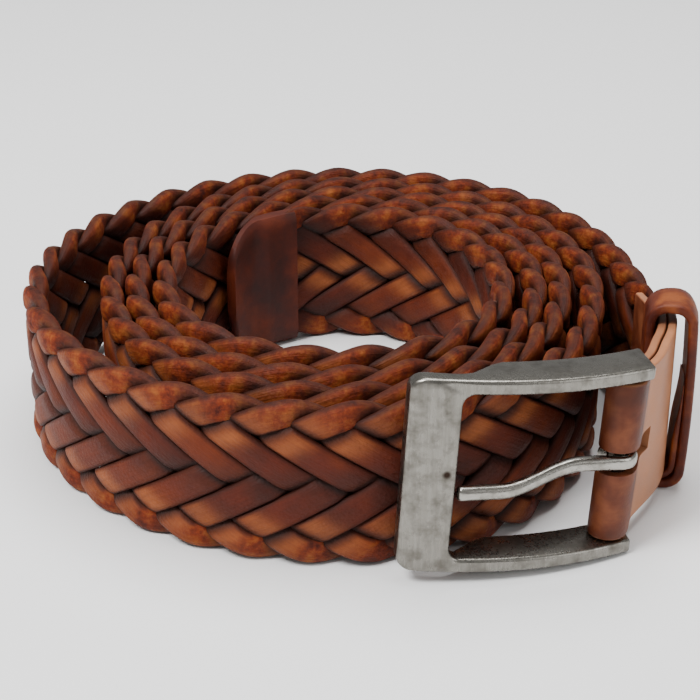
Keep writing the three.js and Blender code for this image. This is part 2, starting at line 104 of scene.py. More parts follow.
BAR_RADIUS = 1.5
BAR_SET_BACK = 6.4
BAR_INSET = 9.2
BAR_HEIGHT = 17.632
YAW = math.radians(11.6)
ROLL = math.radians(3.5)
FRAME_LENGTH = 40.5
HEEL_OVERHANG = 3.5
WINDOW_HALF = 14.75
HEEL_HALF = 17.15
TOE_HALF = 17.25
TOE_BAR_WIDTH = 8.2
TOE_BAR_THICKNESS = 3.0
RAIL_DEPTH = 7.8
FRAME_ARCH = 3.2
FRONT_HEEL = 2.5
FRONT_TOE = 3.6
FRAME_CORNER = 2.4
WINDOW_CORNER = 2.0
TOE_END = FRAME_LENGTH - HEEL_OVERHANG
WINDOW_END = TOE_END - TOE_BAR_WIDTH
PRONG_HALF = 1.2
HOOK_OUTER = 3.3


def mix(a, b, t):
    return a + (b - a) * t


def smooth(t):
    t = min(max(t, 0.0), 1.0)
    return t * t * (3 - 2 * t)


# ---- The strap's route -------------------------------------------------------------------------


def grown(inner, air, turns_out):
    """A half size of the coil, so many turns out from the innermost one."""
    station = min(max(2 * turns_out, 0), len(air) - 1)
    low = min(int(station), len(air) - 2)
    slack = mix(air[low], air[low + 1], smooth(station - low))
    return inner + min(turns_out, (len(air) - 1) / 2) * PLAIT_THICKNESS + slack


def spiral(angle):
    """The coil's middle line at an angle in degrees that grows from the buckle to the tip."""
    turns = (len(BREADTH_AIR) - 1) / 2
    a = grown(INNER_HALF_BREADTH, BREADTH_AIR, turns - angle / 360)
    b = grown(INNER_HALF_DEPTH, DEPTH_AIR, turns - (angle - 90) / 360)
    turn = math.radians(angle)
    return Vector((a * math.cos(turn), b * math.sin(turn)))


def spanned(points, i, t):
    """Centripetal Catmull-Rom curve through points, between point i and the next."""
    last = len(points) - 1
    p1, p2 = points[i], points[i + 1]
    p0 = points[i - 1] if i > 0 else 2 * p1 - p2
    p3 = points[i + 2] if i + 2 <= last else 2 * p2 - p1
    d0, d1, d2 = (math.sqrt((b - a).length) for a, b in ((p0, p1), (p1, p2), (p2, p3)))
    t1 = ((p1 - p0) / d0 - (p2 - p0) / (d0 + d1) + (p2 - p1) / d1) * d1
    t2 = ((p2 - p1) / d1 - (p3 - p1) / (d1 + d2) + (p3 - p2) / d2) * d1
    c2 = 3 * (p2 - p1) - 2 * t1 - t2
    c3 = 2 * (p1 - p2) + t1 + t2
    point = p1 + t1 * t + c2 * t * t + c3 * t * t * t
    along = t1 + 2 * c2 * t + 3 * c3 * t * t
    return point, along.normalized()


class Route:
    """Places on the strap by their distance from the buckle's bar."""

    def __init__(self):
        front = spiral(270).y - PLAIT_THICKNESS / 2
        bar = Vector((spiral(0).x - BAR_INSET, front + BAR_SET_BACK))
        points = [
            bar + Vector(step)
            for step in ((-4, -7), (0, 0), (6.9, 11), (11.2, 23), (11.2, 36))
        ]
        angle = TAIL_ANGLE
        last = 180 * (len(BREADTH_AIR) - 1) + TIP_ANGLE
        while angle < last + 5:
            points.append(spiral(angle))
            angle += 10
        self.points, self.tangents, self.lengths = [], [], []
        travelled = 0.0
        steps = 60
        for i in range(len(points) - 1):
            for k in range(steps):
                point, tangent = spanned(points, i, k / steps)
                if self.points:
                    travelled += (point - self.points[-1]).length
                self.points.append(point)
                self.tangents.append(tangent)
                self.lengths.append(travelled)
        at_bar = self.lengths[steps]
        self.lengths = [length - at_bar for length in self.lengths]
        self.end = self.lengths[-1]
        hinge = joints["buckle_hinge"]["pos_m"]
        self.shift = Vector((hinge[0] / MM - bar.x, hinge[1] / MM - bar.y))
        self.lift = hinge[2] / MM - BAR_HEIGHT

    def at(self, s):
        """The middle line's point and its direction, s from the bar."""
        i = min(max(bisect.bisect_right(self.lengths, s) - 1, 0), len(self.lengths) - 2)
        t = (s - self.lengths[i]) / (self.lengths[i + 1] - self.lengths[i])
        point = self.points[i].lerp(self.points[i + 1], t)
        return point, self.tangents[i].lerp(self.tangents[i + 1], t)


route = Route()
SLEEVE_MOUTH = route.end - TIP_LENGTH
BRAID_END = SLEEVE_MOUTH + BRAID_INSERT
TOEWARD = Vector((-math.cos(YAW), -math.sin(YAW)))
KEEPER_NEAR = KEEPER_PLACE - KEEPER_BAND


def lift_share(s):
    """How much of the buckle's lift the strap has: all of it at the bar, none in the plait."""
    return 1 - smooth((s - KEEPER_PLACE) / (TAB_LENGTH + EDGE_PITCH - KEEPER_PLACE))


def place(s, m, z):
    """A place on the strap, in metres: s along it from the bar, m inwards from its middle, z up."""
    point, along = route.at(s)
    rolled = 1 - smooth((s - SLOT_REACH) / (KEEPER_NEAR - SLOT_REACH))
    lean = -math.tan(ROLL) * rolled * (z - HALF_WIDTH)
    x = point.x - along.y * m + lean * TOEWARD.x + route.shift.x
    y = point.y + along.x * m + lean * TOEWARD.y + route.shift.y
    return Vector((x, y, z + lift_share(s) * (BAR_HEIGHT - HALF_WIDTH) + route.lift)) * MM


hinge_place = Vector(joints["buckle_hinge"]["pos_m"])
TO_TOE = Vector((TOEWARD.x * math.cos(ROLL), TOEWARD.y * math.cos(ROLL), math.sin(ROLL)))
BAR_UP = Vector(joints["buckle_hinge"]["axis"]).normalized()
TO_FRONT = BAR_UP.cross(TO_TOE)


def on_buckle(x, y, z):
    """A place on the buckle, in metres: x from the bar to the toe, y to the front, z up the bar."""
    return hinge_place + (TO_TOE * x + TO_FRONT * y + BAR_UP * z) * MM


# ---- Making pieces -----------------------------------------------------------------------------


def finished(bm, name, body, material, nodes=(), angle=None):
    """Turns a bmesh into a piece that rides on a body and stands for its CAD nodes."""
    mesh = bpy.data.meshes.new(name)
    if angle is not None:
        for edge in bm.edges:
            edge.smooth = len(edge.link_faces) == 2 and edge.calc_face_angle(0) < angle
    for face in bm.faces:
        face.smooth = True
    bm.to_mesh(mesh)
    bm.free()
    piece = bpy.data.objects.new(name, mesh)
    bpy.context.scene.collection.objects.link(piece)
    mesh.materials.append(material)
    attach(piece, body)
    if nodes:
        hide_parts(*nodes)
    return piece


def ruled(x_steps, y_steps, uv_name="cut"):
    """A flat grid on 0 to 1 in x and y, with its own UV map."""
    bm = bmesh.new()
    bm.loops.layers.uv.new(uv_name)
    bmesh.ops.create_grid(bm, x_segments=x_steps, y_segments=y_steps, size=0.5, calc_uvs=True)
    bmesh.ops.translate(bm, vec=(0.5, 0.5, 0), verts=bm.verts)
    return bm


def swept(stations, around, where, closed=False):
    """A closed skin over sections: where(i, j) places point j of section i."""
    bm = ruled(stations, around)
    for vert in bm.verts:
        i = round(vert.co.x * stations)
        j = round(vert.co.y * around) % around
        vert.co = where(i % stations if closed else i, j)
    bmesh.ops.remove_doubles(bm, verts=bm.verts, dist=1e-7)
    ends = [edge for edge in bm.edges if edge.is_boundary]
    if ends:
        bmesh.ops.holes_fill(bm, edges=ends, sides=0)
    bmesh.ops.recalc_face_normals(bm, faces=bm.faces)
    return bm


def rounded_section(half_u, half_v, radius, flat=1, arc=3):
    """Points round a rectangle with round corners, with some on its two long sides."""
    points = []
    for corner in range(4):
        su = 1 if corner in (0, 3) else -1
        sv = 1 if corner in (0, 1) else -1
        for k in range(arc + 1):
            turn = math.pi / 2 * (corner + k / arc)
            u = su * (half_u - radius) + radius * math.cos(turn)
            v = sv * (half_v - radius) + radius * math.sin(turn)
            points.append((u, v))
        if corner in (0, 2):
            for k in range(1, flat):
                points.append((su * (half_u - radius) * (1 - 2 * k / flat), sv * half_v))
    return points


def joined(bm, other):
    """Adds another bmesh to this one."""
    mesh = bpy.data.meshes.new("joined")
    other.to_mesh(mesh)
    other.free()
    bm.from_mesh(mesh)
    bpy.data.meshes.remove(mesh)


# ---- The plait ---------------------------------------------------------------------------------

STRAND_HALF_WIDTH = 2.62
STRAND_HALF_THICKNESS = 1.04
LAYER_OFFSET = 1.0
RIM_SPAN = 29.2
TURN_ROUNDING = 2.3
DIVE = 0.42


def from_corner(d):
    """Distance from the corner of a strand's turn, rounded off near it."""
    return (d**2.5 + TURN_ROUNDING**2.5) ** 0.4


def rise(lane, centre):
    return smooth((lane - centre + DIVE) / (2 * DIVE))


def strand_layer(lane):
    """1 where the strand lies on the outer face and -1 on the inner one."""
    layer = -1 + 2 * rise(lane, 1.5) - 2 * rise(lane, 4.5) + 2 * rise(lane, 7.5)
    into = min(lane, STRAND_COUNT - lane) / 0.8
    return layer * math.sin(math.pi / 2 * min(into, 1))


def strand_middle(first, q):
    """Middle line of a strand, q lanes from where it starts at an edge: s, z and its direction."""
    traverse = math.floor(q / STRAND_COUNT)
    lane = q - traverse * STRAND_COUNT
    down = 1 if traverse % 2 == 0 else -1
    side = down if lane < STRAND_COUNT / 2 else -down
    from_edge = min(lane, STRAND_COUNT - lane)
    d = from_edge * RIM_SPAN / STRAND_COUNT
    z = HALF_WIDTH + side * (from_corner(RIM_SPAN / 2) - from_corner(d))
    return first + q * LANE_STEP, z, lane, down, from_edge


def strand_mesh(strand, steps_per_lane, around, rng):
    """One strand from the plait's start to its end, over and under the others."""
    first = BRAID_START - 2 * TRAVERSE + strand * EDGE_PITCH
    q_start = (BRAID_START - first) / LANE_STEP
    q_end = (BRAID_END - first) / LANE_STEP
    rings = int((q_end - q_start) * steps_per_lane)
    bm = ruled(rings, around)
    layers = {key: bm.verts.layers.float.new(key) for key in ("wear_and_highlight", "tuck_shade", "rim", "tone")}
    tones = {}
    slant = 1 / math.sin(2 * STRAND_ANGLE)
    for vert in bm.verts:
        q = mix(q_start, q_end, vert.co.x)
        turn = 2 * math.pi * vert.co.y
        s, z, lane, down, from_edge = strand_middle(first, q)
        s2, z2 = strand_middle(first, q + 0.02)[:2]
        along = Vector((s2 - s, z2 - z)).normalized()
        square = Vector((-along.y, along.x))
        skewed = Vector((math.cos(STRAND_ANGLE), down * math.sin(STRAND_ANGLE))) * down * slant
        straight = smooth(from_edge / 1.2)
        at_rim = 1 - smooth(from_edge / 1.3)
        cross = square.lerp(skewed, straight)
        half_width = mix(STRAND_HALF_WIDTH, 2.45, at_rim)
        half_thick = mix(STRAND_HALF_THICKNESS, 1.55, at_rim)
        skived = min(
            smooth((s - TAB_LENGTH - 2) / EDGE_PITCH), smooth((SLEEVE_MOUTH - 2 - s) / EDGE_PITCH)
        )
        c, n = math.cos(turn), math.sin(turn)
        power = 2 / 2.5
        v = math.copysign(abs(c) ** power, c)
        w = math.copysign(abs(n) ** power, n)
        layer = strand_layer(lane)
        nearest = min(abs(lane - end) for end in (1.5, 4.5, 7.5))
        crown = smooth(nearest / 1.3) * 0.12
        m = -(layer * (LAYER_OFFSET + crown)) - w * half_thick
        offset = cross * (v * half_width)
        vert.co = place(s + offset.x, m * mix(0.5, 1, skived), z + offset.y)
        over = layer * w
        float_index = (int(q // STRAND_COUNT), int((lane + 1.5) // 3))
        tone = tones.setdefault(float_index, rng.random())
        after = min((lane - end for end in (-1.5, 1.5, 4.5, 7.5) if lane >= end), key=abs)
        starts = math.exp(-(((after - 0.6) / 0.38) ** 2))
        ends = smooth((after - 1.7) / 1.1)
        # Paler just after each float's start: partly real wear, partly a painted highlight.
        vert[layers["wear_and_highlight"]] = starts * (1 - 0.6 * at_rim) * smooth((1 - abs(v)) / 0.35)
        # Painted shade: darker where the strand dives under its neighbours, on its faces turned between the
        # layers, along its sides and towards each float's far end.
        sides = smooth((abs(v) - 0.8) / 0.2) * 0.75
        under = 1 - smooth(nearest / DIVE)
        vert[layers["tuck_shade"]] = max(under, smooth(-over), sides, ends * 0.42)
        vert[layers["rim"]] = at_rim
        vert[layers["tone"]] = tone
    bmesh.ops.remove_doubles(bm, verts=bm.verts, dist=1e-7)
    bmesh.ops.holes_fill(bm, edges=[edge for edge in bm.edges if edge.is_boundary], sides=0)
    bmesh.ops.recalc_face_normals(bm, faces=bm.faces)
    return bm


# ---- Tab, keeper and tip -----------------------------------------------------------------------


def tab_fold(radius, together, sleeve):
    """One face of the folded tab as (s, m): from an end, round the bar and back to the other."""
    layer = []
    steps = 42
    for k in range(steps):
        s = TAB_LENGTH * (1 - k / steps)
        if s < WRAP_RUN:
            m = together + (radius - together) * (1 + math.cos(math.pi * s / WRAP_RUN)) / 2
        else:
            m = mix(together, sleeve, smooth((s - BRAID_START + 4) / 3))
        layer.append((s, m))
    arc = []
    for k in range(17):
        turn = math.pi / 2 + math.pi * k / 16
        arc.append((radius * math.cos(turn), radius * math.sin(turn)))
    return layer + arc + [(s, -m) for s, m in reversed(layer)]


def tab_mesh():
    """The tab: a strip folded round the bar, with the prong's slot through the fold."""
    outer = tab_fold(WRAP_INNER + LEATHER_THICKNESS, TAB_HALF, POCKET_HALF + LEATHER_THICKNESS)
    inner = tab_fold(WRAP_INNER, 0.12, POCKET_HALF)
    section = rounded_section(TAB_WIDTH / 2, LEATHER_THICKNESS / 2, 0.4)

    def where(i, j):
        z, depth = section[j]
        share = depth / LEATHER_THICKNESS + 0.5
        s = mix(inner[i][0], outer[i][0], share)
        m = mix(inner[i][1], outer[i][1], share)
        return Vector((s, m, HALF_WIDTH + z))

    bm = swept(len(outer) - 1, len(section), where)
    for z in (HALF_WIDTH - SLOT_HALF, HALF_WIDTH + SLOT_HALF):
        bmesh.ops.bisect_plane(
            bm, geom=bm.verts[:] + bm.edges[:] + bm.faces[:], plane_co=(0, 0, z), plane_no=(0, 0, 1)
        )
    cut = [
        face
        for face in bm.faces
        if face.calc_center_median().x < SLOT_REACH
        and abs(face.calc_center_median().z - HALF_WIDTH) < SLOT_HALF
    ]
    bmesh.ops.delete(bm, geom=cut, context="FACES")
    bmesh.ops.bridge_loops(bm, edges=[edge for edge in bm.edges if edge.is_boundary])
    bmesh.ops.recalc_face_normals(bm, faces=bm.faces)
    pale = bm.verts.layers.float.new("pale")
    for vert in bm.verts:
        # Paler on one face past the wrap: a painted highlight. Paler on the cut edges: the leather's own
        # colour.
        along = smooth((vert.co.x - 2.5) / 4) * (1 if vert.co.y < 0 else 0)
        edge = smooth((abs(vert.co.z - HALF_WIDTH) - TAB_WIDTH / 2 + 0.3) / 0.25)
        vert[pale] = max(along, edge * 0.8)
        vert.co = place(*vert.co)
    return bm


KEEPER_LEATHER = 1.7
LAP_INSET = 1.45
LAP_TOP = 20.0


def keeper_ring(thickness, inset):
    """Middle line of the keeper's loop as (m, z, out_m, out_z), once round."""
    floor = 0.2 - lift_share(KEEPER_PLACE) * (BAR_HEIGHT - HALF_WIDTH)
    low_m = -(TAB_HALF + KEEPER_SLACK) - thickness / 2 + inset
    high_m = TAB_HALF + 0.4 + thickness / 2
    low_z, high_z = floor + thickness / 2 + inset, floor + KEEPER_HEIGHT - thickness / 2
    radius = min(3.0, (high_m - low_m) / 2 - 0.2)
    middle = ((low_m + high_m) / 2, (low_z + high_z) / 2)
    half = ((high_m - low_m) / 2 - radius, (high_z - low_z) / 2 - radius)
    ring = []
    for corner in range(4):
        sm = 1 if corner in (0, 3) else -1
        sz = 1 if corner in (0, 1) else -1
        for k in range(7):
            turn = math.pi / 2 * (corner + k / 6)
            c, n = math.cos(turn), math.sin(turn)
            spot = (middle[0] + sm * half[0] + radius * c, middle[1] + sz * half[1] + radius * n)
            ring.append((*spot, c, n))
        if corner in (1, 3):
            for k in range(1, 12):
                at = 1 - 2 * k / 12
                bow = 0.35 * (1 - at * at) if corner == 1 else 0
                spot = (middle[0] + sm * (half[0] + radius + bow), middle[1] + sz * half[1] * at)
                ring.append((*spot, sm, 0))
    return ring


def keeper_mesh():
    """The keeper: a band bent to a loop, its ends lapped on the outer side."""
    thickness = KEEPER_LEATHER
    ring = keeper_ring(thickness, 0)
    section = rounded_section(KEEPER_BAND / 2, thickness / 2, 0.5, flat=4)

    def band(i, j):
        m, z, out_m, out_z = ring[i]
        along, out = section[j]
        return place(KEEPER_PLACE + along, m + out_m * out, z + out_z * out)

    bm = swept(len(ring), len(section), band, closed=True)
    lap = keeper_ring(thickness, LAP_INSET)
    wall = [p for p in lap if p[2] < 0.01 and p[1] < LAP_TOP]
    lapped = rounded_section(KEEPER_BAND / 2 - 0.1, 0.6, 0.4, flat=4)

    def flap(i, j):
        m, z, out_m, out_z = wall[i]
        along, out = lapped[j]
        reach = mix(0.2, 1, smooth(i / 5))
        shift = 0.6 * (1 - reach)
        proud = out * reach + shift
        return place(KEEPER_PLACE + along, m + out_m * proud, z + out_z * proud)

    joined(bm, swept(len(wall) - 1, len(lapped), flap))
    return bm


def tip_mesh():
    """The tip: two layers of leather over the plait's end, with round corners."""
    stations = 34
    section = rounded_section(1, 1, 0.3, flat=10, arc=4)

    def where(i, j):
        u, v = section[j]
        s = route.end - TIP_LENGTH * (1 - (i / stations) ** 0.7)
        x = s - SLEEVE_MOUTH
        thin = smooth((x - BRAID_INSERT - 1) / 4)
        half_t = mix(POCKET_HALF + TIP_LEATHER, TIP_LEATHER + 0.15, thin)
        into = max(0.0, s - (route.end - TIP_CORNER))
        half_w = TAB_WIDTH / 2 - TIP_CORNER + math.sqrt(max(0.0, TIP_CORNER**2 - into**2))
        edge = 0.35 * smooth((abs(u) - 0.9) / 0.1)
        return place(s, v * (half_t - edge), HALF_WIDTH + u * half_w)

    return swept(stations, len(section), where)


# ---- Buckle ------------------------------------------------------------------------------------


def front_at(x):
    t = (x + HEEL_OVERHANG) / FRAME_LENGTH
    return mix(FRONT_HEEL, FRONT_TOE, t) + FRAME_ARCH * 4 * t * (1 - t)


def depth_at(x):
    return mix(TOE_BAR_THICKNESS, RAIL_DEPTH, smooth((WINDOW_END - x) / TOE_BAR_WIDTH))


def frame_stations():
    """Pairs of outer and inner points (x, z) along the frame, from one rail's heel to the other's."""
    half = []
    slope = (TOE_HALF - HEEL_HALF) / (TOE_END - FRAME_CORNER + HEEL_OVERHANG)
    for k in range(17):
        x = mix(-HEEL_OVERHANG, WINDOW_END - WINDOW_CORNER, k / 16)
        half.append(((x, HEEL_HALF + slope * (x + HEEL_OVERHANG)), (x, WINDOW_HALF)))
    straight = TOE_END - FRAME_CORNER - (WINDOW_END - WINDOW_CORNER)
    arc = math.pi / 2 * FRAME_CORNER
    down = TOE_HALF - FRAME_CORNER - (WINDOW_HALF - WINDOW_CORNER)
    for k in range(1, 17):
        turn = math.pi / 2 * (1 - k / 16)
        inner = (
            WINDOW_END - WINDOW_CORNER + WINDOW_CORNER * math.cos(turn),
            WINDOW_HALF - WINDOW_CORNER + WINDOW_CORNER * math.sin(turn),
        )
        run = (straight + arc + down) * k / 16
        if run < straight:
            outer = (WINDOW_END - WINDOW_CORNER + run, TOE_HALF)
        elif run < straight + arc:
            bend = math.pi / 2 - (run - straight) / FRAME_CORNER
            outer = (
                TOE_END - FRAME_CORNER + FRAME_CORNER * math.cos(bend),
                TOE_HALF - FRAME_CORNER + FRAME_CORNER * math.sin(bend),
            )
        else:
            outer = (TOE_END, TOE_HALF - FRAME_CORNER - (run - straight - arc))
        half.append((outer, inner))
    low = half[-1][1][1]
    bar = [((TOE_END, z), (WINDOW_END, z)) for z in (low * (1 - k / 6) for k in range(1, 6))]
    mirrored = [((a[0], -a[1]), (b[0], -b[1])) for a, b in half + bar]
    return half + bar + [((TOE_END, 0), (WINDOW_END, 0))] + mirrored[::-1]


def frame_mesh():
    """The buckle's frame: two rails and a toe bar, arched to the front."""
    stations = frame_stations()
    radius = 0.62
    unit = rounded_section(1, 1, 0.25, flat=6, arc=3)

    def where(i, j):
        outer, inner = (Vector(p) for p in stations[i])
        u, v = unit[j]
        across = inner - outer
        half = across.length / 2
        x_mid = (outer.x + inner.x) / 2
        deep = depth_at(x_mid) / 2
        su, sv = (1 if u > 0 else -1), (1 if v > 0 else -1)
        if abs(u) > 0.75:
            u = su * (1 - (1 - abs(u)) / 0.25 * radius / half)
        else:
            u = u / 0.75 * (1 - radius / half)
        v = sv * (1 - (1 - abs(v)) / 0.25 * min(radius / deep, 0.9))
        spot = (outer + inner) / 2 + across * u / 2
        front = front_at(spot.x)
        crown = 0.3 * (1 - u * u) if v > 0 else 0
        y = front - deep * (1 - v) + crown * smooth((half - 2) / 2)
        return on_buckle(spot.x, y, spot.y)

    bm = swept(len(stations) - 1, len(unit), where)
    heels = [edge for edge in bm.edges if any(len(face.verts) > 4 for face in edge.link_faces)]
    bmesh.ops.bevel(
        bm,
        geom=heels,
        offset=0.4 * MM,
        segments=3,
        profile=0.5,
        affect="EDGES",
        material=-1,
        clamp_overlap=True,
    )
    return bm


def bar_mesh():
    """The heel bar, its ends held inside the rails."""
    bm = bmesh.new()
    length = 2 * HEEL_HALF - 0.6
    bmesh.ops.create_cone(
        bm, cap_ends=True, segments=28, radius1=BAR_RADIUS, radius2=BAR_RADIUS, depth=length
    )
    rims = [edge for edge in bm.edges if abs(edge.verts[0].co.z - edge.verts[1].co.z) < 0.01]
    bmesh.ops.bevel(bm, geom=rims, offset=0.45, segments=3, profile=0.5, affect="EDGES", material=-1)
    for vert in bm.verts:
        vert.co = on_buckle(*vert.co)
    return bm


ARM_STRAIGHT = 7.0
ARM_JOGGLE_RUN = 14.0
ARM_RISE = 1.9
ARM_DROP = 3.3
TIP_AIR = 0.6
HOOK_MIDDLE = 2.55
HOOK_HALF = 0.75
HOOK_TURN = math.radians(255)


def joggle(x):
    """How far the arm has moved over to the toe bar's level: 0 at the bar and 1 at its tip."""
    return smooth((x - ARM_STRAIGHT) / ARM_JOGGLE_RUN)


def prong_mesh():
    """The prong: a rod hooked round the bar, joggled down to the toe bar."""
    tip = WINDOW_END - TIP_AIR
    level = HOOK_OUTER - PRONG_HALF
    path = [(tip - PRONG_HALF * (1 - math.cos(a)), math.sin(a)) for a in (0.12, 0.5, 0.9, 1.3)]
    rings = []
    for x, share in path:
        rings.append((x, level + ARM_RISE * joggle(x), PRONG_HALF * share, (0, 1)))
    for k in range(1, 33):
        x = mix(tip - PRONG_HALF, 3.2, k / 32)
        rings.append((x, level + ARM_RISE * joggle(x), PRONG_HALF, (0, 1)))
    rings.append((1.9, 2.32, 0.98, (0.12, 0.99)))
    rings.append((1.0, 2.47, 0.82, (0.1, 0.99)))
    for k in range(0, 27):
        turn = math.pi / 2 + HOOK_TURN * k / 26
        c, n = math.cos(turn), math.sin(turn)
        rings.append((HOOK_MIDDLE * c, HOOK_MIDDLE * n, HOOK_HALF, (c, n)))

    def where(i, j):
        x, y, thick, out = rings[i]
        turn = 2 * math.pi * j / 20
        wide = PRONG_HALF * min(1, thick / HOOK_HALF)
        if i > 40:
            wide = PRONG_HALF
        c, n = math.cos(turn), math.sin(turn)
        w = math.copysign(abs(c) ** 0.8, c) * wide
        v = math.copysign(abs(n) ** 0.8, n) * thick
        return on_buckle(x + out[0] * v, y + out[1] * v, -ARM_DROP * joggle(x) + w)

    return swept(len(rings) - 1, 20, where)


# ---- Materials ---------------------------------------------------------------------------------


def linear(red, green, blue):
    """Display colour, 0 to 255, as the linear colour that shaders read."""

    def channel(value):
        c = value / 255
        return c / 12.92 if c <= 0.04045 else ((c + 0.055) / 1.055) ** 2.4

    return (channel(red), channel(green), channel(blue), 1.0)


class Tree:
    """Short words for adding nodes to a material or a group."""

    def __init__(self, tree):
        self.tree = tree
        tree.nodes.clear()

    def add(self, kind, values=None, **settings):
        node = self.tree.nodes.new(kind)
        for key, value in settings.items():
            setattr(node, key, value)
        for key, value in (values or {}).items():
            if isinstance(value, bpy.types.NodeSocket):
                self.tree.links.new(value, node.inputs[key])
            else:
                node.inputs[key].default_value = value
        return node

    def math(self, operation, a, b=None, clamp=False):
        values = {0: a} if b is None else {0: a, 1: b}
        return self.add("ShaderNodeMath", values, operation=operation, use_clamp=clamp).outputs[0]

    def mixed(self, factor, a, b, blend="MIX"):
        node = self.add("ShaderNodeMix", {}, data_type="RGBA", blend_type=blend)
        for socket, value in ((node.inputs[0], factor), (node.inputs[6], a), (node.inputs[7], b)):
            if isinstance(value, bpy.types.NodeSocket):
                self.tree.links.new(value, socket)
            else:
                socket.default_value = value
        return node.outputs[2]

    def ramp(self, value, stops):
        node = self.add("ShaderNodeValToRGB", {0: value})
        elements = node.color_ramp.elements
        while len(elements) < len(stops):
            elements.new(0.5)
        for element, (position, colour) in zip(elements, stops):
            element.position = position
            element.color = colour
        return node.outputs[0]

    def spread(self, value, low, high, to_low=0.0, to_high=1.0):
        node = self.add("ShaderNodeMapRange", {0: value, 1: low, 2: high, 3: to_low, 4: to_high})
        return node.outputs[0]


def new_group(name, inputs, outputs):
    """A shader node group with its sockets: (name, kind, default) and (name, kind)."""
    group = bpy.data.node_groups.new(name, "ShaderNodeTree")
    for label, kind, default in inputs:
        socket = group.interface.new_socket(label, in_out="INPUT", socket_type=kind)
        if default is not None:
            socket.default_value = default
    for label, kind in outputs:
        group.interface.new_socket(label, in_out="OUTPUT", socket_type=kind)
    tree = Tree(group)
    return tree, tree.add("NodeGroupInput").outputs, tree.add("NodeGroupOutput")


FLOAT, VECTOR, COLOR = "NodeSocketFloat", "NodeSocketVector", "NodeSocketColor"


def grain_group():
    """Pores, fine creases and slow mottling of leather."""
    tree, given, out = new_group(
        "Leather Grain",
        [("Vector", VECTOR, None), ("Pores per mm", FLOAT, 1.6), ("Fibre", FLOAT, 0.3)],
        [("Height", FLOAT), ("Mottle", FLOAT), ("Fibres", FLOAT)],
    )
    pores = tree.add(
        "ShaderNodeTexVoronoi", {"Vector": given["Vector"], "Scale": given["Pores per mm"]}, feature="F1"
    ).outputs["Distance"]
    fine = tree.add(
        "ShaderNodeTexNoise", {"Vector": given["Vector"], "Scale": 1.1, "Detail": 6.0, "Roughness": 0.65}
    ).outputs[0]
    slow = tree.add(
        "ShaderNodeTexNoise", {"Vector": given["Vector"], "Scale": 0.16, "Detail": 3.0, "Roughness": 0.55}
    ).outputs[0]
    drawn = tree.add("ShaderNodeMapping", {"Vector": given["Vector"], "Scale": (0.12, 1.6, 1.6)}).outputs[0]
    fibres = tree.add(
        "ShaderNodeTexNoise", {"Vector": drawn, "Scale": 1.4, "Detail": 4.0, "Roughness": 0.7}
    ).outputs[0]
    height = tree.math("ADD", tree.math("MULTIPLY", pores, 0.45), tree.math("MULTIPLY", fine, 0.6))
    height = tree.math("ADD", height, tree.math("MULTIPLY", fibres, given["Fibre"]))
    links = tree.tree.links
    links.new(height, out.inputs["Height"])
    links.new(tree.spread(slow, 0.3, 0.7), out.inputs["Mottle"])
    links.new(tree.spread(fibres, 0.35, 0.7), out.inputs["Fibres"])
    return tree.tree


